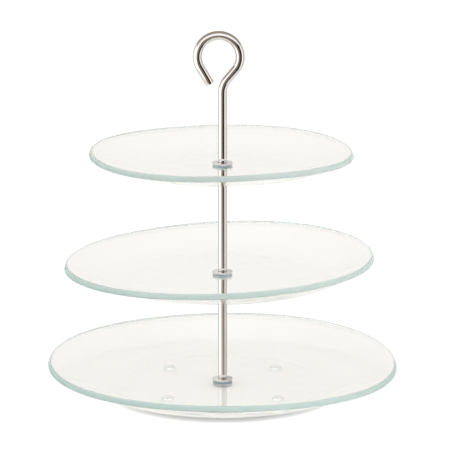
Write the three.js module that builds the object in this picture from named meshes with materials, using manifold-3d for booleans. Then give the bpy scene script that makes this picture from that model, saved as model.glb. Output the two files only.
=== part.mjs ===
// Three-tier glass cake stand: three hand-slumped glass plates clamped on a steel rod.
// The rod is three sections that screw together through the plates; the top one is bent into a ring.
// Millimetres, +Z up. The origin is on the rod's axis, on the surface that the feet stand on.
import * as THREE from "three";
import { mergeVertices } from "three/addons/utils/BufferGeometryUtils.js";
import Module from "manifold-3d";

const wasm = await Module();
wasm.setup();

// ---- Driving dimensions -------------------------------------------------------------------

const DEG = Math.PI / 180;

const GLASS = 5; // thickness of the glass
const EDGE_ROUND = 0.7; // the ground rim's corners are eased by this much
const TIER_PITCH = 98.1; // from one plate's inner face to the next
const FOOT_HEIGHT = 3;
const FOOT_RADIUS = 5.5;
const FOOT_CIRCLE = 68; // the feet's distance from the axis
const FOOT_COUNT = 4;

const ROD_RADIUS = 4;
const WASHER_RADIUS = 9;
const WASHER_THICK = 1.4;
const GASKET_RADIUS = 8.7;
const GASKET_THICK = 1;
const THREAD_RADIUS = 2.45; // crest radius of the M5 studs
const THREAD_PITCH = 0.8;
const THREAD_TURNS = 10.6; // turns of thread held in the next rod
const TAPPED_RADIUS = 2.55; // wall of the tapped holes, with running clearance on the studs
const WASHER_HOLE = 2.8;
const SLEEVE_INNER = 2.7;
const SLEEVE_OUTER = 4.3;
const HOLE_RADIUS = 4.5; // hole through the middle of each plate
const RUNNING_GAP = 0.1; // between faces that slide or turn on each other
const SPARE_DEPTH = 1.2; // the tapped holes go on past the studs' ends

const SCREW_HEAD_RADIUS = 8.6;
const SCREW_HEAD_THICK = 1.5;
const SLOT_WIDTH = 2;
const SLOT_DEPTH = 0.8;

// The ring handle lies in the XZ plane.
const RING_RADIUS = 18.6; // centre line
const RING_CENTRE_X = -3.2;
const RING_TOP = 322.6; // highest point of the whole stand
const STEM_LEAN = 40 * DEG; // the stem leans this far from upright as it meets the ring
const STEM_STRAIGHT = 10.6; // straight stretch of the leaning stem
const TIP_LEAN = 30 * DEG;
const TIP_STRAIGHT = 17; // straight stretch that ends in the ring's open tip

const PLATE_SEGMENTS = 48;
const TURNED_SEGMENTS = 24;
const FOOT_SEGMENTS = 16;
const ROD_SIDES = 16;
const HANDLE_STEPS = 60;

// Each plate: outer radius, rise of the inner face from the flat centre to the rim, radius of the
// bend between centre and wall, slope of the wall, how far the outline sits off the hole, and the
// hand-slumped rim's waves, each as [waves in a full turn, height, angle of a crest in degrees].
const PLATES = {
  bottom: {
    radius: 155, rise: 21, bend: 80, slope: 22 * DEG, offset: 0,
    waves: [[1, 1, 155], [2, 1.3, 75], [3, 1.1, 40]],
  },
  middle: {
    radius: 136.6, rise: 15.8, bend: 75, slope: 21 * DEG, offset: -3,
    waves: [[1, 5, 0], [2, 0.9, 75], [3, 0.5, 50]],
  },
  top: {
    radius: 115.8, rise: 13.7, bend: 120, slope: 19 * DEG, offset: -1,
    waves: [[2, 0.5, -75], [3, 1, 50]],
  },
};

// ---- Heights worked out from them ---------------------------------------------------------

const engagement = THREAD_PITCH * THREAD_TURNS;
const floorOf = (tier) => FOOT_HEIGHT + GLASS + tier * TIER_PITCH; // inner face of a plate
const upperWasherTop = (tier) => floorOf(tier) + GASKET_THICK + WASHER_THICK;
const lowerWasherBottom = (tier) => floorOf(tier) - GLASS - GASKET_THICK - WASHER_THICK;

// ---- Materials ----------------------------------------------------------------------------

const steel = () => new THREE.MeshStandardMaterial({ color: 0xb9b2aa, roughness: 0.14, metalness: 1 });
const washerSteel = () => new THREE.MeshStandardMaterial({ color: 0xc4c6c6, roughness: 0.2, metalness: 1 });
const glass = () =>
  new THREE.MeshStandardMaterial({
    color: 0xdcebe6, roughness: 0.03, metalness: 0, transparent: true, opacity: 0.35,
  });
const clearSoft = () =>
  new THREE.MeshStandardMaterial({
    color: 0xd2dadc, roughness: 0.35, metalness: 0, transparent: true, opacity: 0.6,
  });

// ---- Shared shape makers ------------------------------------------------------------------

// A closed geometry as a solid that can be joined and cut.
function solidOf(geometry) {
  const bare = geometry.index ? geometry.toNonIndexed() : geometry.clone();
  const merged = mergeVertices(
    new THREE.BufferGeometry().setAttribute("position", bare.getAttribute("position")),
    1e-4,
  );
  return new wasm.Manifold(
    new wasm.Mesh({
      numProp: 3,
      vertProperties: merged.attributes.position.array,
      triVerts: new Uint32Array(merged.index.array),
    }),
  );
}

// A solid back as a geometry.
function geometryOf(solid) {
  const mesh = solid.getMesh();
  const geometry = new THREE.BufferGeometry();
  geometry.setAttribute("position", new THREE.BufferAttribute(mesh.vertProperties, 3));
  geometry.setIndex(new THREE.BufferAttribute(mesh.triVerts, 1));
  geometry.computeVertexNormals();
  return geometry;
}

// A body turned about Z from its [radius, height] outline, which runs anticlockwise in the
// (radius, z) half plane. LatheGeometry turns about Y, so the result is stood up.
function turned(outline, segments = TURNED_SEGMENTS) {
  const points = outline.map(([r, z]) => new THREE.Vector2(r, z));
  return new THREE.LatheGeometry(points, segments).rotateX(Math.PI / 2);
}

// A flat ring with plain square corners, as the soft parts have.
function ring(inner, outer, bottom, top) {
  return turned([[inner, bottom], [outer, bottom], [outer, top], [inner, top], [inner, bottom]]);
}

// A steel washer: a flat ring whose outer corners are eased.
function washer(bottom) {
  const ease = 0.25;
  const top = bottom + WASHER_THICK;
  return turned([
    [WASHER_HOLE, bottom],
    [WASHER_RADIUS - ease, bottom],
    [WASHER_RADIUS, bottom + ease],
    [WASHER_RADIUS, top - ease],
    [WASHER_RADIUS - ease, top],
    [WASHER_HOLE, top],
    [WASHER_HOLE, bottom],
  ]);
}

function named(name, geometry, material) {
  const mesh = new THREE.Mesh(geometry, material);
  mesh.name = name;
  return mesh;
}

// ---- Plates -------------------------------------------------------------------------------

// Radius at which a plate's flat centre ends.
function flatRadius({ radius, rise, bend, slope }) {
  const wall = (rise - bend * (1 - Math.cos(slope))) / Math.sin(slope);
  return radius - GLASS * Math.sin(slope) - bend * Math.sin(slope) - wall * Math.cos(slope);
}

// Height that the slumped wall's waves add at a radius and an angle: none on the flat centre.
function waveHeight(plate, r, angle) {
  const flat = flatRadius(plate);
  const share = Math.max(0, (r - flat) / (plate.radius - flat));
  const full = plate.waves.reduce(
    (sum, [count, height, crest]) => sum + height * Math.cos(count * (angle - crest * DEG)),
    0,
  );
  return full * share ** 2;
}

// The plate's section as [radius, height above the inner face], anticlockwise: along the under
// side to the rim, round the ground edge, back down the inner face and through the hole.
function plateSection(plate) {
  const { radius, rise, bend, slope } = plate;
  const flat = flatRadius(plate);
  const lip = radius - GLASS * Math.sin(slope); // inner corner of the rim
  const under = [[HOLE_RADIUS, -GLASS], [flat, -GLASS]];
  const inner = [[HOLE_RADIUS, 0], [flat, 0]];
  const bendSteps = 4;
  for (let i = 1; i <= bendSteps; i++) {
    const a = (slope * i) / bendSteps;
    inner.push([flat + bend * Math.sin(a), bend * (1 - Math.cos(a))]);
    under.push([flat + (bend + GLASS) * Math.sin(a), bend - (bend + GLASS) * Math.cos(a)]);
  }
  // Along and across the wall at the rim.
  const along = ([r, z], d) => [r + d * Math.cos(slope), z + d * Math.sin(slope)];
  const across = ([r, z], d) => [r + d * Math.sin(slope), z - d * Math.cos(slope)];
  const corner = [lip, rise];
  const foot = across(corner, GLASS);
  const edge = [
    along(foot, -EDGE_ROUND),
    across(corner, GLASS - EDGE_ROUND),
    across(corner, EDGE_ROUND),
    along(corner, -EDGE_ROUND),
  ];
  return [...under, ...edge, ...inner.reverse()];
}

function plate(name, tier) {
  const spec = PLATES[name];
  const section = plateSection(spec);
  const outline = [...section, section[0]];
  const geometry = turned(outline, PLATE_SEGMENTS);
  const position = geometry.getAttribute("position");
  for (let i = 0; i < position.count; i++) {
    const x = position.getX(i);
    const y = position.getY(i);
    const r = Math.hypot(x, y);
    const flat = flatRadius(spec);
    const shift = spec.offset * Math.max(0, (r - flat) / (spec.radius - flat));
    const lift = waveHeight(spec, r, Math.atan2(y, x));
    position.setXYZ(i, x + shift, y, position.getZ(i) + lift + floorOf(tier));
  }
  return named(`${name}_plate`, geometry, glass());
}

// The soft parts at a plate's hole: a gasket each side of the glass and a sleeve in the hole.
function plateSofts(name, tier) {
  const top = floorOf(tier);
  const thick = GASKET_THICK - RUNNING_GAP;
  const gasket = (bottom) => ring(SLEEVE_INNER, GASKET_RADIUS, bottom, bottom + thick);
  return [
    named(`${name}_upper_gasket`, gasket(top), clearSoft()),
    named(`${name}_lower_gasket`, gasket(top - GLASS - thick), clearSoft()),
    named(`${name}_hole_sleeve`, ring(SLEEVE_INNER, SLEEVE_OUTER, top - GLASS, top), clearSoft()),
  ];
}

// The steel collar washer that the rod's shoulder presses down on.
function upperWasher(name, tier) {
  return named(`${name}_upper_washer`, washer(upperWasherTop(tier) - WASHER_THICK), washerSteel());
}

// The steel washer that the plate stands on, on the end of the rod below.
function lowerWasher(name, tier) {
  return named(`${name}_lower_washer`, washer(lowerWasherBottom(tier)), washerSteel());
}

// ---- Rods ---------------------------------------------------------------------------------

// How far a stud reaches below the shoulder of the rod that it is fixed in.
const stackHeight = GLASS + 2 * (GASKET_THICK + WASHER_THICK);
const studReach = stackHeight + engagement;
const studRoot = 10; // length of a stud inside its own rod
const tappedDepth = engagement + SPARE_DEPTH;

// A straight rod section between two plates, with a tapped hole in each end. It is drilled
// from its bottom to bottomDepth and from its top to topDepth.
function straightRod(name, bottom, top, bottomDepth) {
  const chamfer = 0.4;
  const outline = [
    [TAPPED_RADIUS, bottom],
    [ROD_RADIUS - chamfer, bottom],
    [ROD_RADIUS, bottom + chamfer],
    [ROD_RADIUS, top - chamfer],
    [ROD_RADIUS - chamfer, top],
    [TAPPED_RADIUS, top],
    [TAPPED_RADIUS, top - tappedDepth],
    [0, top - tappedDepth - TAPPED_RADIUS / 2],
    [0, bottom + bottomDepth + TAPPED_RADIUS / 2],
    [TAPPED_RADIUS, bottom + bottomDepth],
    [TAPPED_RADIUS, bottom],
  ];
  return named(name, turned(outline), steel());
}

// A stud fixed in the rod whose shoulder is at the given height, reaching down into the next.
function stud(name, shoulder) {
  const chamfer = 0.5;
  const bottom = shoulder - studReach;
  const top = shoulder + studRoot;
  const outline = [
    [0, bottom],
    [THREAD_RADIUS - chamfer, bottom],
    [THREAD_RADIUS, bottom + chamfer],
    [THREAD_RADIUS, top - chamfer],
    [THREAD_RADIUS - chamfer, top],
    [0, top],
  ];
  return named(name, turned(outline), steel());
}

// An arc in the XZ plane about a centre, between two angles from +X.
class ArcXZ extends THREE.Curve {
  constructor(centreX, centreZ, radius, from, to) {
    super();
    Object.assign(this, { centreX, centreZ, radius, from, to });
  }
  getPoint(t, target = new THREE.Vector3()) {
    const a = this.from + (this.to - this.from) * t;
    return target.set(this.centreX + this.radius * Math.cos(a), 0, this.centreZ + this.radius * Math.sin(a));
  }
}

// The handle's centre line: up the axis, out to the right, round the ring and down to its tip.
function handlePath(shoulder) {
  const centreZ = RING_TOP - ROD_RADIUS - RING_RADIUS;
  const meet = new THREE.Vector3(
    RING_CENTRE_X + RING_RADIUS * Math.cos(STEM_LEAN),
    0,
    centreZ - RING_RADIUS * Math.sin(STEM_LEAN),
  );
  const lean = new THREE.Vector3(Math.sin(STEM_LEAN), 0, Math.cos(STEM_LEAN));
  const leave = meet.clone().addScaledVector(lean, -STEM_STRAIGHT);
  const bendRadius = leave.x / (1 - Math.cos(STEM_LEAN));
  const bendZ = leave.z - bendRadius * Math.sin(STEM_LEAN);
  const tipAngle = Math.PI + TIP_LEAN;
  const turn = new THREE.Vector3(
    RING_CENTRE_X + RING_RADIUS * Math.cos(tipAngle),
    0,
    centreZ + RING_RADIUS * Math.sin(tipAngle),
  );
  const tip = turn.clone().add(
    new THREE.Vector3(Math.sin(TIP_LEAN), 0, -Math.cos(TIP_LEAN)).multiplyScalar(TIP_STRAIGHT),
  );
  const path = new THREE.CurvePath();
  path.add(new THREE.LineCurve3(new THREE.Vector3(0, 0, shoulder), new THREE.Vector3(0, 0, bendZ)));
  path.add(new ArcXZ(bendRadius, bendZ, bendRadius, Math.PI, Math.PI - STEM_LEAN));
  path.add(new THREE.LineCurve3(leave, meet));
  path.add(new ArcXZ(RING_CENTRE_X, centreZ, RING_RADIUS, -STEM_LEAN, tipAngle));
  path.add(new THREE.LineCurve3(turn, tip));
  return path;
}

// The handle rod: a round bar along that line, drilled from its lower end for its stud.
function handleRod(shoulder) {
  const section = new THREE.Shape().absarc(0, 0, ROD_RADIUS, 0, 2 * Math.PI, false);
  const bar = new THREE.ExtrudeGeometry(section, {
    curveSegments: ROD_SIDES / 2, // a full circle takes two sides for each
    steps: HANDLE_STEPS,
    bevelEnabled: false,
    extrudePath: handlePath(shoulder),
  });
  const depth = studRoot + SPARE_DEPTH;
  const drill = turned([
    [0, shoulder - 1],
    [TAPPED_RADIUS, shoulder - 1],
    [TAPPED_RADIUS, shoulder + depth],
    [0, shoulder + depth + TAPPED_RADIUS / 2],
  ]);
  return named("handle_rod", geometryOf(solidOf(bar).subtract(solidOf(drill))), steel());
}

// ---- Base screw and feet ------------------------------------------------------------------

// A wide low head under the bottom plate, slotted for a coin, with its shank up into lower_rod.
function baseScrew() {
  const seat = floorOf(0) - GLASS - GASKET_THICK + RUNNING_GAP;
  const bottom = seat - SCREW_HEAD_THICK;
  const top = upperWasherTop(0) + engagement;
  const chamfer = 0.4;
  const screw = turned([
    [0, bottom],
    [SCREW_HEAD_RADIUS - chamfer, bottom],
    [SCREW_HEAD_RADIUS, bottom + chamfer],
    [SCREW_HEAD_RADIUS, seat],
    [THREAD_RADIUS, seat],
    [THREAD_RADIUS, top - chamfer],
    [THREAD_RADIUS - chamfer, top],
    [0, top],
  ]);
  const slot = new THREE.BoxGeometry(4 * SCREW_HEAD_RADIUS, SLOT_WIDTH, 2 * SLOT_DEPTH).translate(0, 0, bottom);
  return named("base_screw", geometryOf(solidOf(screw).subtract(solidOf(slot))), steel());
}

// A clear bumper foot under the flat of the bottom plate: a low dome cut flat where it stands.
function foot(index) {
  const angle = ((index + 0.5) / FOOT_COUNT) * 2 * Math.PI;
  const geometry = turned([
    [0, 0],
    [FOOT_RADIUS - 1.6, 0],
    [FOOT_RADIUS - 0.7, FOOT_HEIGHT * 0.3],
    [FOOT_RADIUS, FOOT_HEIGHT * 0.85],
    [FOOT_RADIUS, FOOT_HEIGHT],
    [0, FOOT_HEIGHT],
  ], FOOT_SEGMENTS);
  const mesh = named(`foot_${index + 1}`, geometry, clearSoft());
  mesh.position.set(FOOT_CIRCLE * Math.cos(angle), FOOT_CIRCLE * Math.sin(angle), 0);
  return mesh;
}

// ---- Assembly -----------------------------------------------------------------------------

const group = new THREE.Group();
["bottom", "middle", "top"].forEach((name, tier) => {
  group.add(plate(name, tier), ...plateSofts(name, tier), upperWasher(name, tier));
});
group.add(lowerWasher("middle", 1), lowerWasher("top", 2));

const shoulderOf = (tier) => upperWasherTop(tier) + RUNNING_GAP;
group.add(
  straightRod("lower_rod", shoulderOf(0), lowerWasherBottom(1), tappedDepth),
  straightRod("middle_rod", shoulderOf(1), lowerWasherBottom(2), studRoot + SPARE_DEPTH),
  handleRod(shoulderOf(2)),
  stud("middle_stud", shoulderOf(1)),
  stud("top_stud", shoulderOf(2)),
  baseScrew(),
);
for (let i = 0; i < FOOT_COUNT; i++) group.add(foot(i));

export default group;
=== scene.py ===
"""A three-tier glass cake stand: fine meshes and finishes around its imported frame.

Three slumped clear glass plates are clamped on a round steel bar, whose top is bent into a ring.
Lengths in the classes are in millimetres; the meshes are made in metres.
"""
import logging
from dataclasses import dataclass, field
from enum import Enum
from functools import cache
from math import asin, cos, hypot, pi, radians, sin
from typing import Sequence, Union

import bmesh
import bpy
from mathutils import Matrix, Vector


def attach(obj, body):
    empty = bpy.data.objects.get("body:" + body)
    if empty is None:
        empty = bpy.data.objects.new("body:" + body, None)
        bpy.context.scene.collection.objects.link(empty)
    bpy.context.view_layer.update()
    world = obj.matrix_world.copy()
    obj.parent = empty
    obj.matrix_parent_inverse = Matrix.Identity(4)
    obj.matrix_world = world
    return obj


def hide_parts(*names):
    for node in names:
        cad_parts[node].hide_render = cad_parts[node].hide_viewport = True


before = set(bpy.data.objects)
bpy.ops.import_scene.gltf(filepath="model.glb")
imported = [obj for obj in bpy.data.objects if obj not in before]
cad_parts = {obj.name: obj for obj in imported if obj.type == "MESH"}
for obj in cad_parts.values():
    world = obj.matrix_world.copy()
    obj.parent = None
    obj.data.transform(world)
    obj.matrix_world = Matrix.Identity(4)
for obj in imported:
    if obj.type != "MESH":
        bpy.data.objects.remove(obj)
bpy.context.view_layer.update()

LOG = logging.getLogger("cake_stand")
MM = 0.001
TURN = 2 * pi
GROUND = "ground_edge"
BAR_MAP = "along_the_bar"
CREASE = 35.0  # corners of a piece sharper than this many degrees are left crisp
THREAD_CREASE = 40.0
RIM_CREASE = 60.0

Pair = tuple[float, float]
Place = tuple[float, float, float]
Outline = list[Pair]
Faces = list[tuple[int, ...]]
Colour = tuple[float, float, float]
Piece = bpy.types.Object
Socket = bpy.types.NodeSocket
Input = Union[float, Colour, Socket]


# ---- Mesh building ----


def angles(sides: int) -> list[float]:
    """Equal angles once around, in radians."""
    return [TURN * i / sides for i in range(sides)]


@dataclass
class Skin:
    """One closed surface, built from rings of points that are joined one to the next."""

    sides: int
    points: list[Place] = field(default_factory=list)
    faces: Faces = field(default_factory=list)
    rings: list[list[int]] = field(default_factory=list)

    def ring(self, points: Sequence[Place]) -> None:
        """Adds a ring, or a pole when it is given one point, and joins it to the last ring.

        Args:
            points: `sides` points in order around the ring, or a single point.
        """
        start = len(self.points)
        self.points.extend(points)
        self.rings.append(list(range(start, start + len(points))))
        if len(self.rings) > 1:
            self.join(self.rings[-2], self.rings[-1])

    def turned_ring(self, radius: float, height: float) -> None:
        """Adds a round level ring about the stand's axis, or a pole where the radius is nought.

        Args:
            radius: Radius in millimetres.
            height: Height in millimetres.
        """
        if radius < 1e-6:
            self.ring([(0.0, 0.0, height)])
            return
        self.ring([(radius * cos(a), radius * sin(a), height) for a in angles(self.sides)])

    def join(self, low: list[int], high: list[int]) -> None:
        """Fills the band between two rings with faces.

        Args:
            low: Point numbers of one ring.
            high: Point numbers of the next ring.
        """
        for i in range(self.sides):
            j = (i + 1) % self.sides
            if len(low) == 1:
                self.faces.append((low[0], high[j], high[i]))
            elif len(high) == 1:
                self.faces.append((low[i], low[j], high[0]))
            else:
                self.faces.append((low[i], low[j], high[j], high[i]))

    def close(self) -> None:
        """Joins the last ring back to the first."""
        self.join(self.rings[-1], self.rings[0])

    def solid(self, name: str, crease: float) -> Piece:
        """Puts the surface into the scene, in metres, smooth but for its sharp corners.

        Args:
            name: Name of the piece.
            crease: Corners sharper than this angle in degrees are left crisp.

        Returns:
            The new object.
        """
        mesh = bpy.data.meshes.new(name)
        scaled = [(x * MM, y * MM, z * MM) for x, y, z in self.points]
        mesh.from_pydata(scaled, [], self.faces)
        work = bmesh.new()
        work.from_mesh(mesh)
        bmesh.ops.recalc_face_normals(work, faces=work.faces)
        for face in work.faces:
            face.smooth = True
        work.to_mesh(mesh)
        work.free()
        mesh.set_sharp_from_angle(angle=radians(crease))
        return placed(name, mesh)


def oblong(low: Pair, high: Pair, height: float) -> list[Place]:
    """Corners of a level oblong, anticlockwise from above."""
    return [(x, y, height) for x, y in (low, (high[0], low[1]), high, (low[0], high[1]))]


def arc(centre: Pair, radius: float, start: float, end: float, steps: int) -> Outline:
    """Points along an arc in the (radius, height) half plane.

    Args:
        centre: The arc's centre.
        radius: Its radius.
        start: First angle in degrees, from the outward direction.
        end: Last angle in degrees.
        steps: Number of steps between them.

    Returns:
        The points, both ends included.
    """
    along = [radians(start + (end - start) * i / steps) for i in range(steps + 1)]
    return [(centre[0] + radius * cos(a), centre[1] + radius * sin(a)) for a in along]


def eased_disc(inner: float, outer: float, bottom: float, top: float, ease: float) -> Outline:
    """Section of a flat ring whose outer corners are rounded and whose hole is lightly broken.

    Args:
        inner: Radius of the hole.
        outer: Outer radius.
        bottom: Lower face.
        top: Upper face.
        ease: Radius of the outer corners.

    Returns:
        The section, anticlockwise.
    """
    broken = min(0.15, ease / 2)
    return [
        (inner, bottom + broken),
        (inner + broken, bottom),
        *arc((outer - ease, bottom + ease), ease, -90, 0, 5),
        *arc((outer - ease, top - ease), ease, 0, 90, 5),
        (inner + broken, top),
        (inner, top - broken),
    ]


def turned(name: str, outline: Outline, sides: int) -> Piece:
    """A body turned about the stand's axis from a section.

    Args:
        name: Name of the piece.
        outline: Section, anticlockwise; it is closed unless it runs from axis to axis.
        sides: Number of sides around.

    Returns:
        The new object.
    """
    skin = Skin(sides)
    for radius, height in outline:
        skin.turned_ring(radius, height)
    if outline[0][0] > 0:
        skin.close()
    return skin.solid(name, CREASE)


def placed(name: str, mesh: bpy.types.Mesh) -> Piece:
    """Puts a mesh into the scene.

    Args:
        name: Name of the object.
        mesh: Its mesh.

    Returns:
        The new object.
    """
    thing = bpy.data.objects.new(name, mesh)
    bpy.context.scene.collection.objects.link(thing)
    return thing


def sheet(name: str, points: list[Place], faces: Faces) -> Piece:
    """Puts an open surface into the scene.

    Args:
        name: Name of the object.
        points: Its points, in metres.
        faces: Its faces.

    Returns:
        The new object.
    """
    mesh = bpy.data.meshes.new(name)
    mesh.from_pydata(points, [], faces)
    return placed(name, mesh)


# ---- Finishes ----


class Slot(Enum):
    """The record's material slots."""

    GLASS = "glass"
    ROD_STEEL = "rod_steel"
    THREAD_STEEL = "thread_steel"
    WASHER_STEEL = "washer_steel"
    CLEAR_GASKET = "clear_gasket"
    HOLE_SLEEVE = "hole_sleeve"
    FOOT = "foot"


class Nodes:
    """The node tree of a material or of the world, with short ways to add and join nodes."""

    def __init__(self, owner: Union[bpy.types.Material, bpy.types.World]) -> None:
        """Starts the owner's node tree afresh."""
        owner.use_nodes = True
        self.tree = owner.node_tree
        self.tree.nodes.clear()

    def give(self, socket: Socket, value: Input) -> None:
        """Sets a plain value on an input, or links an output to it.

        Args:
            socket: The input.
            value: A number, a colour or three numbers, or an output socket.
        """
        if isinstance(value, Socket):
            self.tree.links.new(value, socket)
        elif socket.type == "RGBA":
            socket.default_value = (*value, 1.0)
        else:
            socket.default_value = value

    def add(self, kind: str, **inputs: Input) -> bpy.types.Node:
        """Adds a node.

        Args:
            kind: The node's type.
            **inputs: Values or output sockets, by the input's name with _ for a space.

        Returns:
            The new node.
        """
        node = self.tree.nodes.new(kind)
        for key, value in inputs.items():
            self.give(node.inputs[key.replace("_", " ")], value)
        return node

    def sum(self, kind: str, operation: str, *values: Input) -> bpy.types.Node:
        """Adds a node that reckons with its inputs in order.

        Args:
            kind: The node's type.
            operation: Name of the sum.
            *values: Values or output sockets.

        Returns:
            The new node.
        """
        node = self.tree.nodes.new(kind)
        node.operation = operation
        for socket, value in zip(node.inputs, values):
            self.give(socket, value)
        return node

    def here(self) -> Socket:
        """The shaded point's own coordinate, in metres."""
        return self.add("ShaderNodeTexCoord").outputs["Object"]

    def stretched(self, source: Socket, scale: Place) -> Socket:
        """A coordinate scaled by a different factor along each axis."""
        return self.add("ShaderNodeMapping", Vector=source, Scale=scale).outputs["Vector"]

    def radius(self) -> Socket:
        """Distance of the shaded point from the stand's axis, in metres."""
        flat = self.stretched(self.here(), (1.0, 1.0, 0.0))
        return self.sum("ShaderNodeVectorMath", "LENGTH", flat).outputs["Value"]

    def noise(self, where: Socket, scale: float, detail: float = 3.0) -> Socket:
        """Smooth noise from nought to one.

        Args:
            where: Coordinate that it is read at.
            scale: Noise cells in a unit of that coordinate.
            detail: Octaves of finer noise.

        Returns:
            The noise value.
        """
        return self.add("ShaderNodeTexNoise", Vector=where, Scale=scale, Detail=detail).outputs["Fac"]

    def between(self, amount: Socket, low: float, high: float) -> Socket:
        """A value that runs from low to high as the amount runs from nought to one."""
        return self.add("ShaderNodeMapRange", Value=amount, To_Min=low, To_Max=high).outputs["Result"]

    def share(self, amount: Socket, low: float, high: float) -> bpy.types.Node:
        """A node whose result runs from nought to one as the amount runs from low to high."""
        return self.add("ShaderNodeMapRange", Value=amount, From_Min=low, From_Max=high)

    def tint(self, amount: Input, low: Input, high: Input, blend: str = "MIX") -> Socket:
        """A colour that runs between two as the amount runs from nought to one.

        Args:
            amount: The driving value.
            low: Colour at nought.
            high: Colour at one.
            blend: How the second colour is laid over the first.

        Returns:
            The colour.
        """
        node = self.tree.nodes.new("ShaderNodeMix")
        node.data_type = "RGBA"
        node.blend_type = blend
        self.give(node.inputs[0], amount)
        self.give(node.inputs[6], low)
        self.give(node.inputs[7], high)
        return node.outputs[2]


class Bench(Nodes):
    """A new material with a Principled shader on its output."""

    def __init__(self, name: str) -> None:
        """Makes the material."""
        self.material = bpy.data.materials.new(name)
        super().__init__(self.material)
        self.shader = self.add("ShaderNodeBsdfPrincipled")
        self.output = self.add("ShaderNodeOutputMaterial", Surface=self.shader.outputs["BSDF"])

    def plain(self, **inputs: Input) -> None:
        """Sets values or links on the shader's own sockets."""
        for key, value in inputs.items():
            self.give(self.shader.inputs[key.replace("_", " ")], value)

    def bumped(self, height: Socket, strength: float, depth: float) -> None:
        """Gives the shader a bump.

        Args:
            height: Height from nought to one.
            strength: Share of the bump that is felt.
            depth: Height of one, in metres.
        """
        node = self.add("ShaderNodeBump", Height=height, Strength=strength, Distance=depth)
        self.plain(Normal=node.outputs["Normal"])


@dataclass(frozen=True)
class GlassFinish:
    """Clear float glass: green where the light's way through it is long, satin at its ground edge.

    The ground edge's colour is painted paler from left to right across the stand:
    painted light, standing in for how the light falls on it.
    """

    name: str = "clear_float_glass"
    index: float = 1.52
    absorb: Colour = (0.40, 0.79, 0.74)
    density: float = 1.5
    clear: Colour = (1.0, 1.0, 1.0)
    edge_tint: Colour = (0.71, 0.77, 0.77)
    # Painted light: the ground edge is painted paler towards the right of the stand, between these two
    # places across it.
    edge_painted_light: Colour = (0.97, 0.98, 0.985)
    painted_light_from: float = -0.08
    painted_light_to: float = 0.09
    edge_roughness: float = 0.9
    ripples: float = 22.0
    ripple_strength: float = 0.5
    ripple_depth: float = 0.0004

    def build(self) -> bpy.types.Material:
        """Makes the material.

        Returns:
            The material.
        """
        bench = Bench(self.name)
        ground = bench.add("ShaderNodeAttribute")
        ground.attribute_name = GROUND
        share = ground.outputs["Fac"]
        across = bench.add("ShaderNodeSeparateXYZ", Vector=bench.here()).outputs["X"]
        # Painted light: the ground edge's colour runs paler from left to right across the stand.
        pale = bench.share(across, self.painted_light_from, self.painted_light_to).outputs["Result"]
        edge = bench.tint(pale, self.edge_tint, self.edge_painted_light)
        bench.plain(
            Base_Color=bench.tint(share, self.clear, edge),
            Roughness=bench.between(share, 0.0, self.edge_roughness),
            IOR=self.index,
            Transmission_Weight=1.0,
        )
        bench.bumped(bench.noise(bench.here(), self.ripples, 1.0), self.ripple_strength, self.ripple_depth)
        body = bench.add("ShaderNodeVolumeAbsorption", Color=self.absorb, Density=self.density)
        bench.give(bench.output.inputs["Volume"], body.outputs["Volume"])
        return bench.material


class Marks(Enum):
    """How a tool has left its marks on steel."""

    DRAWN = "streaks along the bar"
    FACED = "rings about the axis"
    ROLLED = "an even grain"


@dataclass(frozen=True)
class SteelFinish:
    """Bare steel, whose tone drifts in clouds and whose polish follows its tool marks.

    With no clouds, the tone follows the marks too.
    """

    name: str
    marks: Marks
    dull: Colour
    bright: Colour
    smooth: float
    rough: float
    relief: float
    clouds: float = 0.0
    depth: float = 0.00001
    streaks: Place = (60.0, 12.0, 1.0)
    rings: float = 6000.0
    grain: float = 1500.0

    def marked(self, bench: Bench) -> Socket:
        """Noise that lies along the tool marks.

        Args:
            bench: The material that is being made.

        Returns:
            The noise value.
        """
        if self.marks is Marks.DRAWN:
            along = bench.add("ShaderNodeUVMap")
            along.uv_map = BAR_MAP
            return bench.noise(bench.stretched(along.outputs["UV"], self.streaks), 1.0, 4.0)
        if self.marks is Marks.FACED:
            out = bench.add("ShaderNodeCombineXYZ", X=bench.radius())
            return bench.noise(out.outputs["Vector"], self.rings, 2.0)
        return bench.noise(bench.here(), self.grain)

    def build(self) -> bpy.types.Material:
        """Makes the material.

        Returns:
            The material.
        """
        bench = Bench(self.name)
        marks = self.marked(bench)
        clouds = bench.noise(bench.here(), self.clouds, 2.0) if self.clouds else marks
        bench.plain(
            Base_Color=bench.tint(clouds, self.dull, self.bright),
            Metallic=1.0,
            Roughness=bench.between(marks, self.smooth, self.rough),
        )
        bench.bumped(marks, self.relief, self.depth)
        return bench.material


@dataclass(frozen=True)
class ClearSoftFinish:
    """Clear moulded rubber or plastic: slightly milky, with a fine moulded grain."""

    name: str
    tone: Colour
    index: float
    clearness: float
    roughness: float
    grain: float = 900.0
    milkiness: float = 180.0
    relief: float = 0.15
    depth: float = 0.00002

    def build(self) -> bpy.types.Material:
        """Makes the material.

        Returns:
            The material.
        """
        bench = Bench(self.name)
        grain = bench.noise(bench.here(), self.grain)
        milky = bench.noise(bench.here(), self.milkiness, 2.0)
        pale = tuple(min(1.0, c * 1.06) for c in self.tone)
        bench.plain(
            Base_Color=bench.tint(milky, self.tone, pale),
            Roughness=bench.between(grain, self.roughness * 0.8, self.roughness * 1.2),
            IOR=self.index,
            Transmission_Weight=self.clearness,
        )
        bench.bumped(grain, self.relief, self.depth)
        return bench.material


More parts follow.
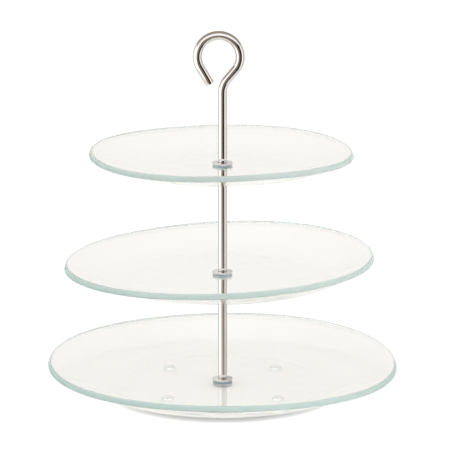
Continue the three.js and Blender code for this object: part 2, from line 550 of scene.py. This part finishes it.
RECIPES = {
    Slot.GLASS: GlassFinish(),
    Slot.ROD_STEEL: SteelFinish(
        "polished_bar_steel", Marks.DRAWN, (0.70, 0.685, 0.665), (0.76, 0.745, 0.725),
        smooth=0.045, rough=0.075, relief=0.03, clouds=40.0,
    ),
    Slot.WASHER_STEEL: SteelFinish(
        "turned_washer_steel", Marks.FACED, (0.66, 0.66, 0.66), (0.80, 0.80, 0.79),
        smooth=0.12, rough=0.22, relief=0.12, clouds=160.0,
    ),
    Slot.THREAD_STEEL: SteelFinish(
        "rolled_thread_steel", Marks.ROLLED, (0.42, 0.41, 0.40), (0.66, 0.65, 0.64),
        smooth=0.22, rough=0.36, relief=0.1,
    ),
    Slot.CLEAR_GASKET: ClearSoftFinish("clear_silicone", (0.80, 0.86, 0.88), 1.41, 0.75, 0.25),
    Slot.HOLE_SLEEVE: ClearSoftFinish("clear_sleeve_plastic", (0.88, 0.90, 0.90), 1.49, 0.85, 0.15),
    Slot.FOOT: ClearSoftFinish("clear_bumper", (0.89, 0.90, 0.895), 1.41, 1.0, 0.08),
}


@cache
def finish(slot: Slot) -> bpy.types.Material:
    """The material for a slot, made when it is first asked for."""
    return RECIPES[slot].build()


@dataclass(frozen=True)
class Role:
    """A piece's name, the CAD node that it stands for and the body that it rides on."""

    name: str
    node: str
    body: str


def fit(piece: Piece, role: Role, slot: Slot) -> None:
    """Dresses a finished piece and hands it to the frame in place of a CAD node.

    Args:
        piece: The piece.
        role: What it stands for.
        slot: The record's material slot.
    """
    piece.data.materials.clear()
    piece.data.materials.append(finish(slot))
    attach(piece, role.body)
    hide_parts(role.node)
    LOG.info("%s rides on %s: %d faces", piece.name, role.body, len(piece.data.polygons))


# ---- Plates ----

GLASS_THICK = 5.0
AIR = 0.03  # left between clear faces that rest on each other, so that light finds both


@dataclass
class Wave:
    """One wave of a slumped rim: waves in a full turn, height, and the angle of a crest."""

    count: int
    height: float
    crest: float


@dataclass
class GlassPlate:
    """A slumped glass plate with its gaskets and the sleeve in its hole."""

    tier: str
    body: str
    floor: float
    radius: float
    rise: float
    bend: float
    slope: float
    offset: float
    waves: list[Wave]
    hole: float = 4.5
    edge_round: float = 0.9
    hole_round: float = 0.4
    sides: int = 240
    bend_steps: int = 14
    edge_steps: int = 5
    flat_shares: tuple[float, ...] = (0.0, 0.04, 0.15, 0.35, 0.6, 0.8, 0.93, 1.0)
    wall_shares: tuple[float, ...] = (0.25, 0.5, 0.75, 0.92)
    gasket_radius: float = 8.7
    gasket_thick: float = 0.9
    gasket_sides: int = 96
    sleeve_inner: float = 2.7
    sleeve_outer: float = 4.3
    sleeve_ease: float = 0.25
    sleeve_sides: int = 64
    # Share of the ground finish at the corners of the edge, and what it loses up the edge's face.
    lower_ground: float = 0.3
    upper_ground: float = 0.4
    inner_ground: float = 0.1
    ground_lost: float = 0.5

    def wall(self) -> float:
        """Length of the straight wall beyond the bend."""
        slope = radians(self.slope)
        return (self.rise - self.bend * (1 - cos(slope))) / sin(slope)

    def flat_radius(self) -> float:
        """Radius at which the flat centre ends."""
        slope = radians(self.slope)
        return self.radius - (GLASS_THICK + self.bend) * sin(slope) - self.wall() * cos(slope)

    def lift(self, radius: float, angle: float) -> float:
        """Height that the slumped wall's waves add, none of it on the flat centre.

        Args:
            radius: Distance from the axis.
            angle: Angle about the axis in radians.

        Returns:
            The height in millimetres.
        """
        share = max(0.0, (radius - self.flat_radius()) / (self.radius - self.flat_radius()))
        full = sum(w.height * cos(w.count * (angle - radians(w.crest))) for w in self.waves)
        return full * share ** 2

    def section(self) -> list[Place]:
        """The plate's section, anticlockwise from the hole along the under side.

        Returns:
            Points as (radius, height above the inner face, share of ground finish).
        """
        slope = radians(self.slope)
        flat = self.flat_radius()
        under: list[Place] = []
        inner: list[Place] = []
        start = self.hole + self.hole_round
        for share in self.flat_shares:
            radius = start + (flat - start) * share
            under.append((radius, -GLASS_THICK, 0.0))
            inner.append((radius, 0.0, 0.0))
        low = self.bend + GLASS_THICK
        for i in range(1, self.bend_steps + 1):
            a = slope * i / self.bend_steps
            under.append((flat + low * sin(a), self.bend - low * cos(a), 0.0))
            inner.append((flat + self.bend * sin(a), self.bend * (1 - cos(a)), 0.0))
        lip = (self.radius - GLASS_THICK * sin(slope), self.rise)
        along = (cos(slope), sin(slope))
        across = (sin(slope), -cos(slope))

        def rim(d: float, depth: float) -> Pair:
            """A point d outward along the wall from the lip and depth into the glass."""
            return tuple(lip[k] + d * along[k] + depth * across[k] for k in (0, 1))

        for share in self.wall_shares:
            back = -(self.wall() - self.edge_round) * (1 - share) - self.edge_round
            under.append((*rim(back, GLASS_THICK), 0.0))
            inner.append((*rim(back, 0.0), 0.0))
        edge: list[Place] = []
        turns = [pi / 2 * i / self.edge_steps for i in range(self.edge_steps + 1)]
        for a in turns:
            d = -self.edge_round * (1 - sin(a))
            depth = GLASS_THICK - self.edge_round * (1 - cos(a))
            edge.append((*rim(d, depth), 1.0 if a else self.lower_ground))
        for share in (0.25, 0.5, 0.75):
            depth = GLASS_THICK - self.edge_round - (GLASS_THICK - 2 * self.edge_round) * share
            edge.append((*rim(0.0, depth), 1.0 - self.ground_lost * share))
        for a in turns:
            d = -self.edge_round * (1 - cos(a))
            ground = self.upper_ground if a < turns[-1] else self.inner_ground
            edge.append((*rim(d, self.edge_round * (1 - sin(a))), ground))
        upper = arc((start, -self.hole_round), self.hole_round, 90, 180, 3)[1:]
        lower = arc((start, self.hole_round - GLASS_THICK), self.hole_round, 180, 270, 3)[:-1]
        bore = [(radius, height, 0.0) for radius, height in (*upper, *lower)]
        return [*under, *edge, *reversed(inner), *bore]

    def plate(self) -> None:
        """Makes the glass itself."""
        role = Role(f"{self.tier}_plate_glass", f"{self.tier}_plate", self.body)
        section = self.section()
        skin = Skin(self.sides)
        flat = self.flat_radius()
        for radius, height, _ in section:
            shift = self.offset * max(0.0, (radius - flat) / (self.radius - flat))
            points = []
            for a in angles(self.sides):
                z = height + self.lift(radius, a) + self.floor
                points.append((radius * cos(a) + shift, radius * sin(a), z))
            skin.ring(points)
        skin.close()
        piece = skin.solid(role.name, RIM_CREASE)
        ground = piece.data.attributes.new(GROUND, "FLOAT", "POINT")
        shares = [share for _, _, share in section for _ in range(self.sides)]
        ground.data.foreach_set("value", shares)
        fit(piece, role, Slot.GLASS)

    def gasket(self, side: str, bottom: float) -> None:
        """Makes one clear gasket, lightly bulged at its rim where it is pressed.

        Args:
            side: "upper" or "lower".
            bottom: Height of its lower face.
        """
        bottom += AIR
        top = bottom + self.gasket_thick - 2 * AIR
        bulge = (top - bottom) / 2
        rim = arc((self.gasket_radius - bulge, bottom + bulge), bulge, -90, 90, 10)
        outline = [(self.sleeve_inner, bottom + 0.1), (self.sleeve_inner + 0.1, bottom), *rim]
        outline += [(self.sleeve_inner + 0.1, top), (self.sleeve_inner, top - 0.1)]
        role = Role(f"{self.tier}_{side}_gasket_ring", f"{self.tier}_{side}_gasket", self.body)
        fit(turned(role.name, outline, self.gasket_sides), role, Slot.CLEAR_GASKET)

    def sleeve(self) -> None:
        """Makes the bush that keeps the thread off the glass."""
        bottom = self.floor - GLASS_THICK + AIR
        top = self.floor - AIR
        outline = eased_disc(self.sleeve_inner, self.sleeve_outer, bottom, top, self.sleeve_ease)
        role = Role(f"{self.tier}_hole_bush", f"{self.tier}_hole_sleeve", self.body)
        fit(turned(role.name, outline, self.sleeve_sides), role, Slot.HOLE_SLEEVE)

    def build(self) -> None:
        """Makes every piece of the plate."""
        self.plate()
        self.gasket("upper", self.floor)
        self.gasket("lower", self.floor - GLASS_THICK - self.gasket_thick)
        self.sleeve()


# ---- Bar, washers and threads ----


@dataclass
class Washers:
    """The turned steel washers on both sides of the plates."""

    radius: float = 9.0
    thick: float = 1.4
    hole: float = 2.8
    ease: float = 0.35
    sides: int = 120

    def washer(self, role: Role, bottom: float) -> None:
        """Makes one washer.

        Args:
            role: What it stands for.
            bottom: Height of its lower face.
        """
        outline = eased_disc(self.hole, self.radius, bottom, bottom + self.thick, self.ease)
        fit(turned(role.name, outline, self.sides), role, Slot.WASHER_STEEL)


@dataclass
class Thread:
    """A right-hand rolled thread."""

    crest: float = 2.45
    depth: float = 0.45
    pitch: float = 0.8
    crest_flat: float = 0.12
    flank: float = 0.72
    rows: int = 10
    sides: int = 40

    def radius_at(self, height: float, angle: float) -> float:
        """Radius of the thread's surface.

        Args:
            height: Height in millimetres.
            angle: Angle about the axis in radians.

        Returns:
            The radius in millimetres.
        """
        phase = (height / self.pitch - angle / TURN) % 1.0
        wedge = abs(phase - 0.5) * 2
        share = min(1.0, max(0.0, (wedge - self.crest_flat) / self.flank))
        return self.crest - self.depth * share

    def rings(self, skin: Skin, bottom: float, top: float, ends: Pair) -> None:
        """Adds the threaded stretch to a skin, upward.

        Args:
            skin: The skin, which has this thread's number of sides.
            bottom: Height of the first row.
            top: Height of the last row.
            ends: How far the crests are cut back at the bottom and at the top.
        """
        count = max(2, round((top - bottom) / self.pitch * self.rows))
        for row in range(count + 1):
            z = bottom + (top - bottom) * row / count
            cut = max(0.0, ends[0] - (z - bottom), ends[1] - (top - z))
            points = []
            for a in angles(self.sides):
                r = min(self.radius_at(z, a), self.crest - cut)
                points.append((r * cos(a), r * sin(a), z))
            skin.ring(points)

    def stud(self, role: Role, bottom: float, top: float) -> None:
        """Makes a stud threaded all along.

        Args:
            role: What it stands for.
            bottom: Height of its lower end.
            top: Height of its upper end.
        """
        skin = Skin(self.sides)
        skin.turned_ring(0.0, bottom)
        self.rings(skin, bottom, top, (0.6, 0.6))
        skin.turned_ring(0.0, top)
        fit(skin.solid(role.name, THREAD_CREASE), role, Slot.THREAD_STEEL)


@dataclass
class Rod:
    """The round bar: two straight lengths with tapped ends, and the handle with its ring."""

    radius: float = 4.0
    bore: float = 2.55
    chamfer: float = 0.4
    mouth: float = 0.25
    sides: int = 64
    ring_radius: float = 18.6
    ring_x: float = -3.2
    ring_top: float = 322.6
    stem_lean: float = 40.0
    stem_straight: float = 10.6
    tip_lean: float = 30.0
    tip_straight: float = 17.0
    arc_step: float = 4.0
    map_scale: Pair = (100.0, 10.0)

    def map_bar(self, piece: Piece, lengths: list[float]) -> None:
        """Writes each corner's place around and along the bar, for the streaks of its finish.

        Args:
            piece: The bar, whose points are in rings of `sides` in order.
            lengths: Distance along the bar of each point, in millimetres.
        """
        layer = piece.data.uv_layers.new(name=BAR_MAP)
        girth = TURN * self.radius * MM
        for face in piece.data.polygons:
            shares = [self.share_around(piece.data.loops[i].vertex_index) for i in face.loop_indices]
            wraps = max(shares) - min(shares) > 0.5
            for i, share in zip(face.loop_indices, shares):
                around = share + 1.0 if wraps and share < 0.5 else share
                along = lengths[piece.data.loops[i].vertex_index] * MM
                layer.data[i].uv = (around * girth * self.map_scale[0], along * self.map_scale[1])

    def share_around(self, index: int) -> float:
        """Share of a turn at which a point of the bar stands, its first point being a pole."""
        return ((index - 1) % self.sides) / self.sides if index else 0.5

    def straight(self, role: Role, ends: Pair, depths: Pair) -> None:
        """Makes a straight length with a tapped hole in each end.

        Args:
            role: What it stands for.
            ends: Heights of its lower and upper end.
            depths: Depths of its lower and upper hole.
        """
        bottom, top = ends
        cone = self.bore / 2
        ease = self.chamfer
        outline = [
            (0.0, bottom + depths[0] + cone),
            (self.bore, bottom + depths[0]),
            (self.bore, bottom + self.mouth),
            (self.bore + self.mouth, bottom),
            *arc((self.radius - ease, bottom + ease), ease, -90, 0, 3),
            (self.radius, bottom + 2.0),
            (self.radius, (bottom + top) / 2),
            (self.radius, top - 2.0),
            *arc((self.radius - ease, top - ease), ease, 0, 90, 3),
            (self.bore + self.mouth, top),
            (self.bore, top - self.mouth),
            (self.bore, top - depths[1]),
            (0.0, top - depths[1] - cone),
        ]
        piece = turned(role.name, outline, self.sides)
        self.map_bar(piece, [v.co.z / MM for v in piece.data.vertices])
        fit(piece, role, Slot.ROD_STEEL)

    def path(self, shoulder: float) -> list[Place]:
        """The handle's centre line: up the axis, out to the right, round the ring, to its tip.

        Args:
            shoulder: Height of the handle's lower end.

        Returns:
            Points as (x, z, lean from upright in radians).
        """
        lean = radians(self.stem_lean)
        tip = radians(180 + self.tip_lean)
        centre_z = self.ring_top - self.radius - self.ring_radius
        meet_x = self.ring_x + self.ring_radius * cos(lean)
        meet_z = centre_z - self.ring_radius * sin(lean)
        leave_x = meet_x - self.stem_straight * sin(lean)
        leave_z = meet_z - self.stem_straight * cos(lean)
        bend = leave_x / (1 - cos(lean))
        bend_z = leave_z - bend * sin(lean)
        points = [(0.0, shoulder + (bend_z - shoulder) * i / 12, 0.0) for i in range(13)]
        steps = round(self.stem_lean / self.arc_step)
        for i in range(1, steps + 1):
            a = lean * i / steps
            points.append((bend * (1 - cos(a)), bend_z + bend * sin(a), a))
        points.append(((leave_x + meet_x) / 2, (leave_z + meet_z) / 2, lean))
        steps = round((180 + self.tip_lean + self.stem_lean) / self.arc_step)
        for i in range(steps + 1):
            a = -lean + (tip + lean) * i / steps
            x = self.ring_x + self.ring_radius * cos(a)
            points.append((x, centre_z + self.ring_radius * sin(a), -a))
        turn_x, turn_z, last = points[-1]
        for share in (0.33, 0.66, 1.0):
            d = self.tip_straight * share
            points.append((turn_x + d * sin(last), turn_z + d * cos(last), last))
        return points

    def handle(self, role: Role, shoulder: float, depth: float) -> None:
        """Makes the bent handle, tapped at its lower end and cut square at its tip.

        Args:
            role: What it stands for.
            shoulder: Height of its lower end.
            depth: Depth of its tapped hole.
        """
        skin = Skin(self.sides)
        lengths: list[float] = []

        def add(radius: float, height: float) -> None:
            """Adds a level ring about the axis."""
            skin.turned_ring(radius, height)
            lengths.extend([height] * (len(skin.points) - len(lengths)))

        add(0.0, shoulder + depth + self.bore / 2)
        mouth = self.mouth
        for radius, height in ((self.bore, depth), (self.bore, mouth), (self.bore + mouth, 0.0)):
            add(radius, shoulder + height)
        ease = self.chamfer
        for radius, height in arc((self.radius - ease, shoulder + ease), ease, -90, 0, 3):
            add(radius, height)
        rounding = [
            (-ease * (1 - sin(t)), self.radius - ease * (1 - cos(t)))
            for t in (0.0, 0.5, 1.05, pi / 2)
        ]
        gone = 0.0
        path = self.path(shoulder)
        for last, (x, z, a) in zip(path, path[1:]):
            gone += hypot(x - last[0], z - last[1])
            stops = rounding if (x, z, a) == path[-1] else [(0.0, self.radius)]
            for back, radius in stops:
                cx = x + back * sin(a)
                cz = z + back * cos(a)
                points = []
                for t in angles(self.sides):
                    out = radius * cos(t)
                    points.append((cx + out * cos(a), radius * sin(t), cz - out * sin(a)))
                skin.ring(points)
                lengths.extend([shoulder + gone + back] * self.sides)
        x, z, _ = path[-1]
        skin.ring([(x, 0.0, z)])
        lengths.append(shoulder + gone)
        piece = skin.solid(role.name, CREASE)
        self.map_bar(piece, lengths)
        fit(piece, role, Slot.ROD_STEEL)


@dataclass
class BaseScrew:
    """The wide low screw under the bottom plate, slotted for a coin."""

    sides: int = 80
    head_radius: float = 8.6
    head_thick: float = 1.5
    slot_width: float = 2.0
    slot_depth: float = 0.8
    ease: float = 0.45

    def build(self, seat: float, top: float) -> None:
        """Makes the screw.

        Args:
            seat: Height of the head's upper face.
            top: Height of the shank's end.
        """
        role = Role("base_coin_screw", "base_screw", "base")
        bottom = seat - self.head_thick
        skin = Skin(self.sides)
        thread = Thread(sides=self.sides)
        skin.turned_ring(0.0, bottom)
        for radius, height in (
            (self.head_radius * 0.6, bottom),
            *arc((self.head_radius - self.ease, bottom + self.ease), self.ease, -90, 0, 4),
            *arc((self.head_radius - 0.2, seat - 0.2), 0.2, 0, 90, 2),
            (thread.crest + 0.15, seat),
        ):
            skin.turned_ring(radius, height)
        thread.rings(skin, seat + 0.1, top, (0.0, 0.5))
        skin.turned_ring(0.0, top)
        piece = skin.solid(role.name, THREAD_CREASE)
        self.cut_slot(piece, bottom)
        fit(piece, role, Slot.THREAD_STEEL)

    def cut_slot(self, piece: Piece, bottom: float) -> None:
        """Cuts the coin slot across the head.

        Args:
            piece: The screw.
            bottom: Height of the head's lower face.
        """
        skin = Skin(4)
        reach = 2 * self.head_radius
        half = self.slot_width / 2
        below = bottom - 1.0
        floor = bottom + self.slot_depth
        skin.ring([(0.0, 0.0, below)])
        for height in (below, floor):
            skin.ring(oblong((-reach, -half), (reach, half), height))
        skin.ring([(0.0, 0.0, floor)])
        cutter = skin.solid("slot_cutter", CREASE)
        cut = piece.modifiers.new("coin_slot", "BOOLEAN")
        cut.operation = "DIFFERENCE"
        cut.solver = "EXACT"
        cut.object = cutter
        bpy.context.view_layer.update()
        graph = bpy.context.evaluated_depsgraph_get()
        mesh = bpy.data.meshes.new_from_object(piece.evaluated_get(graph))
        piece.modifiers.clear()
        piece.data = mesh
        bpy.data.objects.remove(cutter)


@dataclass
class Feet:
    """The clear bumpers that the stand rests on."""

    height: float = 3.0
    radius: float = 5.5
    circle: float = 68.0
    count: int = 4
    sides: int = 64

    def build(self) -> None:
        """Makes the feet."""
        for i in range(self.count):
            role = Role(f"bumper_foot_{i + 1}", f"foot_{i + 1}", "base")
            turn = (i + 0.5) / self.count * TURN
            outline = [
                (0.0, 0.0),
                (2.2, 0.0),
                (3.6, 0.06),
                *arc((self.radius - 1.9, 1.95), 1.9, -76, 0, 8),
                (self.radius, self.height - 0.25),
                (self.radius - 0.12, self.height + 0.01),
                (0.0, self.height + 0.01),
            ]
            piece = turned(role.name, outline, self.sides)
            place = Vector((cos(turn), sin(turn), 0.0)) * self.circle * MM
            for vertex in piece.data.vertices:
                vertex.co += place
            fit(piece, role, Slot.FOOT)


@dataclass
class CakeStand:
    """The whole stand, tier by tier."""

    foot_height: float = 3.0
    tier_pitch: float = 98.1
    gasket_space: float = 1.0
    washer_thick: float = 1.4
    running_gap: float = 0.1
    engagement: float = 0.8 * 10.6  # pitch of an M5 thread by the turns it is screwed in
    spare_depth: float = 1.2
    stud_root: float = 10.0

    def floor(self, tier: int) -> float:
        """Height of a plate's inner face."""
        return self.foot_height + GLASS_THICK + tier * self.tier_pitch

    def upper_top(self, tier: int) -> float:
        """Height of the top of the washer above a plate."""
        return self.floor(tier) + self.gasket_space + self.washer_thick

    def lower_bottom(self, tier: int) -> float:
        """Height of the under side of the washer below a plate."""
        return self.floor(tier) - GLASS_THICK - self.gasket_space - self.washer_thick

    def shoulder(self, tier: int) -> float:
        """Height of the end of the bar that stands on a plate's washer."""
        return self.upper_top(tier) + self.running_gap

    def plates(self) -> None:
        """Makes the three plates."""
        GlassPlate(
            "bottom", "base", self.floor(0), 155.0, 21.0, 80.0, 22.0, 0.0,
            [Wave(1, 1.0, 155.0), Wave(2, 1.3, 75.0), Wave(3, 1.1, 40.0)],
        ).build()
        GlassPlate(
            "middle", "middle_plate", self.floor(1), 136.6, 15.8, 75.0, 21.0, -3.0,
            [Wave(1, 5.0, 0.0), Wave(2, 0.9, 75.0), Wave(3, 0.5, 50.0)],
        ).build()
        GlassPlate(
            "top", "top_plate", self.floor(2), 115.8, 13.7, 120.0, 19.0, -1.0,
            [Wave(2, 0.5, -75.0), Wave(3, 1.0, 50.0)],
        ).build()

    def washers(self) -> None:
        """Makes the five washers."""
        kit = Washers(thick=self.washer_thick)
        for tier, (name, body) in enumerate(
            (("bottom", "lower_collar"), ("middle", "middle_collar"), ("top", "handle_collar"))
        ):
            bottom = self.upper_top(tier) - self.washer_thick
            kit.washer(Role(f"{name}_collar_washer", f"{name}_upper_washer", body), bottom)
        for tier, name, body in ((1, "middle", "lower_rod"), (2, "top", "middle_rod")):
            role = Role(f"{name}_seat_washer", f"{name}_lower_washer", body)
            kit.washer(role, self.lower_bottom(tier))

    def bars(self) -> None:
        """Makes the bar's three lengths."""
        rod = Rod()
        tapped = self.engagement + self.spare_depth
        rooted = self.stud_root + self.spare_depth
        lower = (self.shoulder(0), self.lower_bottom(1))
        middle = (self.shoulder(1), self.lower_bottom(2))
        rod.straight(Role("lower_bar", "lower_rod", "lower_rod"), lower, (tapped, tapped))
        rod.straight(Role("middle_bar", "middle_rod", "middle_rod"), middle, (rooted, tapped))
        rod.handle(Role("handle_bar", "handle_rod", "handle"), self.shoulder(2), rooted)

    def fixings(self) -> None:
        """Makes the studs and the base screw."""
        thread = Thread()
        stack = GLASS_THICK + 2 * (self.gasket_space + self.washer_thick)
        for tier, node, body in ((1, "middle_stud", "middle_rod"), (2, "top_stud", "handle")):
            bottom = self.shoulder(tier) - stack - self.engagement
            thread.stud(Role(f"{node}_thread", node, body), bottom, self.shoulder(tier) + self.stud_root)
        seat = self.floor(0) - GLASS_THICK - self.gasket_space + self.running_gap
        BaseScrew().build(seat, self.upper_top(0) + self.engagement)

    def build(self) -> None:
        """Makes every piece in order."""
        self.plates()
        self.washers()
        self.bars()
        self.fixings()
        Feet(height=self.foot_height).build()


# ---- Studio ----


@dataclass
class Card:
    """A curved upright card that only the steel reflects, between two bearings in degrees.

    Bearings run from the camera's side of the stand towards its right, and are those at which
    light leaves the rod.
    """

    name: str
    start: float
    end: float
    foot: Colour
    head: Colour


@dataclass
class Studio:
    """White floor, soft light all round, reflection cards for the steel, and the camera."""

    floor_tone: Colour = (0.97, 0.97, 0.97)
    # Painted shade: the darker table colour that rays other than the camera's meet, standing in for the
    # plates' shadow on it.
    floor_painted_shade_past_glass: Colour = (0.865, 0.852, 0.83)
    floor_mottle: float = 0.01
    floor_clouds: float = 40.0
    floor_roughness: float = 0.9
    floor_reach: float = 9.0
    floor_lift: float = 0.01 * MM
    # Painted contact shadow: how far the table looks for something close over it, and how dark it paints
    # its colour there.
    painted_shadow_reach: float = 0.005
    painted_shadow_tone: float = 0.18
    box_tone: Colour = (1.30, 1.30, 1.30)
    box_bearing: Place = (0.0, -0.447, 0.894)
    box_edge: Pair = (0.35, 0.75)
    room_tone: Colour = (0.88, 0.86, 0.83)
    backdrop_tone: Colour = (1.05, 1.05, 1.05)
    card_panels: tuple[Place, ...] = (
        (0.013, 0.0112, 0.0972),
        (0.013, 0.1092, 0.1952),
        (0.013, 0.2072, 0.2440),
        (0.12, 0.214, 0.336),
    )
    card_steps: int = 16
    card_head: float = 0.22
    card_slack: float = 0.75
    rod_radius: float = 0.004
    ceiling_height: float = 0.42
    ceiling_corners: tuple[Pair, ...] = ((-0.3, -0.06), (0.3, 0.45))
    ceiling_tone: Colour = (0.42, 0.355, 0.30)
    bounces: int = 48
    camera_at: Place = (0.0022, -2.427, 0.7193)
    camera_pitch: float = 13.2
    camera_lens: float = 226.8
    cards: list[Card] = field(
        default_factory=lambda: [
            Card("card_back_grey", -155, -106, (0.66, 0.66, 0.65), (0.64, 0.64, 0.63)),
            Card("card_left_white", -106, -30, (1.45, 1.43, 1.40), (1.55, 1.54, 1.51)),
            Card("card_front_brown", -30, 9, (0.72, 0.65, 0.58), (0.28, 0.235, 0.195)),
            Card("card_front_dark", 9, 52, (0.40, 0.345, 0.29), (0.045, 0.033, 0.024)),
            Card("card_right_cream", 52, 78, (0.85, 0.81, 0.76), (1.45, 1.40, 1.35)),
            Card("card_right_grey", 78, 118, (0.70, 0.66, 0.62), (0.74, 0.70, 0.66)),
            Card("card_behind_pale", 118, 205, (0.60, 0.58, 0.56), (0.78, 0.77, 0.75)),
        ]
    )

    def sky(self) -> None:
        """A pale room lit by one large soft box, above the stand and in front of it."""
        world = bpy.data.worlds.new("soft_studio")
        bpy.context.scene.world = world
        nodes = Nodes(world)
        where = nodes.add("ShaderNodeTexCoord").outputs["Generated"]
        facing = nodes.sum("ShaderNodeVectorMath", "DOT_PRODUCT", where, self.box_bearing)
        share = nodes.share(facing.outputs["Value"], *self.box_edge)
        share.interpolation_type = "SMOOTHSTEP"
        lit = nodes.tint(share.outputs["Result"], self.room_tone, self.box_tone)
        direct = nodes.add("ShaderNodeLightPath").outputs["Is Camera Ray"]
        light = nodes.add("ShaderNodeBackground", Color=nodes.tint(direct, lit, self.backdrop_tone))
        nodes.add("ShaderNodeOutputWorld", Surface=light.outputs["Background"])

    def floor(self) -> None:
        """The pale table that the stand is on, with a contact shadow painted into its colour
        where something stands close over it.

        Rays other than the camera's, such as those that have passed through glass, meet a darker
        colour without that painted shadow: painted shade that stands in for the plates' shadow on the
        table.
        """
        reach = self.floor_reach
        corners = oblong((-reach, -reach), (reach, reach), self.floor_lift)
        table = sheet("pale_table", corners, [(0, 1, 2, 3)])
        bench = Bench("pale_table")
        dim = tuple(c - self.floor_mottle for c in self.floor_tone)
        clouds = bench.noise(bench.here(), self.floor_clouds, 2.0)
        bare = bench.tint(clouds, dim, self.floor_tone)
        # Painted contact shadow: the table's colour darkens where the AO node finds something close over
        # it.
        closed = bench.add("ShaderNodeAmbientOcclusion", Distance=self.painted_shadow_reach)
        painted_shadow = bench.between(closed.outputs["AO"], self.painted_shadow_tone, 1.0)
        direct = bench.add("ShaderNodeLightPath").outputs["Is Camera Ray"]
        # Painted shade: rays other than the camera's meet the darker colour, standing in for the plates'
        # shadow on the table.
        tone = bench.tint(direct, self.floor_painted_shade_past_glass, bench.tint(1.0, bare, painted_shadow, "MULTIPLY"))
        bench.plain(Base_Color=tone, Roughness=self.floor_roughness, Specular_IOR_Level=0.0)
        table.data.materials.append(bench.material)

    def card(self, card: Card) -> None:
        """Stands up one reflection card, whose tone runs from its foot to its head.

        Args:
            card: The card.
        """
        points: list[Place] = []
        faces: Faces = []
        for radius, foot, head in self.card_panels:
            first = len(points)
            for i in range(self.card_steps + 1):
                a = radians(card.start + (card.end - card.start) * i / self.card_steps)
                a -= asin(self.rod_radius / radius * sin(a / 2))
                x, y = radius * sin(a), -radius * cos(a)
                points += [(x, y, foot), (x, y, head)]
            faces += [tuple(first + 2 * i + k for k in (0, 2, 3, 1)) for i in range(self.card_steps)]
        self.reflected(sheet(card.name, points, faces), (card.foot, card.head), True)

    def ceiling(self) -> None:
        """Hangs the brown card over the back of the stand, for the top of the ring."""
        points = oblong(*self.ceiling_corners, self.ceiling_height)
        card = sheet("card_ceiling_brown", points, [(0, 1, 2, 3)])
        self.reflected(card, (self.ceiling_tone, self.ceiling_tone), False)

    def reflected(self, card: Piece, tones: tuple[Colour, Colour], upright: bool) -> None:
        """Makes a card glow, for the steel alone, whose reflections are a little blurred.

        Args:
            card: The card.
            tones: Its colour at the floor and at the cards' height.
            upright: Whether it stands round the rod, and so is seen only from about there.
        """
        material = bpy.data.materials.new(card.name)
        nodes = Nodes(material)
        height = nodes.add("ShaderNodeSeparateXYZ", Vector=nodes.here()).outputs["Z"]
        climb = nodes.share(height, 0.0, self.card_head).outputs["Result"]
        glow = nodes.add("ShaderNodeEmission", Color=nodes.tint(climb, *tones))
        clear = nodes.add("ShaderNodeBsdfTransparent")
        path = nodes.add("ShaderNodeLightPath").outputs
        kind = "ShaderNodeMath"
        seen = nodes.sum(kind, "SUBTRACT", path["Is Glossy Ray"], path["Is Singular Ray"])
        seen.use_clamp = True
        if upright:
            reach = nodes.radius()
            slack = nodes.sum(kind, "MULTIPLY", reach, self.card_slack).outputs["Value"]
            near = nodes.sum(kind, "COMPARE", path["Ray Length"], reach, slack).outputs["Value"]
            seen = nodes.sum(kind, "MULTIPLY", seen.outputs["Value"], near)
        mixed = nodes.add("ShaderNodeMixShader", Fac=seen.outputs["Value"])
        nodes.give(mixed.inputs[1], clear.outputs["BSDF"])
        nodes.give(mixed.inputs[2], glow.outputs["Emission"])
        nodes.add("ShaderNodeOutputMaterial", Surface=mixed.outputs["Shader"])
        card.data.materials.append(material)
        card.visible_camera = False
        card.visible_diffuse = False
        card.visible_shadow = False
        card.visible_volume_scatter = False

    def camera(self) -> None:
        """The camera, level from side to side and looking a little down."""
        data = bpy.data.cameras.new("studio_camera")
        data.lens = self.camera_lens
        data.sensor_width = 36.0
        data.clip_end = 50.0
        thing = bpy.data.objects.new("studio_camera", data)
        thing.location = self.camera_at
        thing.rotation_euler = (radians(90 - self.camera_pitch), 0.0, 0.0)
        bpy.context.scene.collection.objects.link(thing)
        bpy.context.scene.camera = thing

    def build(self) -> None:
        """Sets the whole studio up."""
        scene = bpy.context.scene
        scene.view_settings.view_transform = "Standard"
        scene.cycles.blur_glossy = 0.0
        scene.cycles.max_bounces = self.bounces
        scene.cycles.transmission_bounces = self.bounces
        scene.cycles.glossy_bounces = self.bounces
        self.camera()
        self.sky()
        self.floor()
        for card in self.cards:
            self.card(card)
        self.ceiling()


def main() -> None:
    """Builds the studio and the stand."""
    logging.basicConfig(level=logging.INFO, format="%(name)s: %(message)s")
    Studio().build()
    CakeStand().build()


if __name__ == "__main__":
    main()
